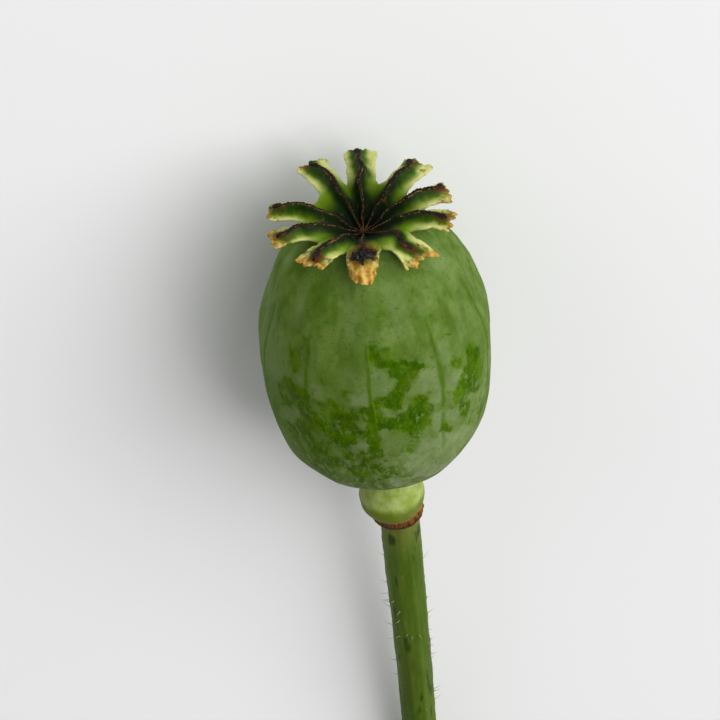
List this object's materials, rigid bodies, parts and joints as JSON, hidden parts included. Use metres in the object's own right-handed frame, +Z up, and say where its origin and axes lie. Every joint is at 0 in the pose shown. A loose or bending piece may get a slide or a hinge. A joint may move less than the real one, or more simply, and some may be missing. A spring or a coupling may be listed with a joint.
{
  "type": "poppy seed head",
  "caption": "Green poppy seed head lying on its side: an egg-shaped capsule under a lobed, ridged crown, with a swollen neck, a scar ring and a cut stem.",
  "frame": {"origin": "centre of the small flat spot on the capsule that the head rests on", "axes": "+Z up from the surface, +Y along the head from the crown towards the cut end of the stem, +X across it"},
  "size_m": [0.0401, 0.1611, 0.0411],
  "materials": {
    "capsule_skin": "fresh green skin, waxy bloom partly rubbed off, low sheen",
    "crown_skin": "fresh yellow-green blades, drying to tan at the tips",
    "stigma_tissue": "dry dark brown tissue, crumbly",
    "receptacle_skin": "smooth pale green skin",
    "scar_tissue": "dry brown scar",
    "stem_skin": "fresh green skin with faint ridges and pale bristles"
  },
  "bodies": {
    "root": {"capsule": "capsule_skin", "crown": "crown_skin", "stigma_rays": "stigma_tissue", "receptacle": "receptacle_skin", "scar_ring": "scar_tissue", "stem": "stem_skin"}
  },
  "joints": []
}
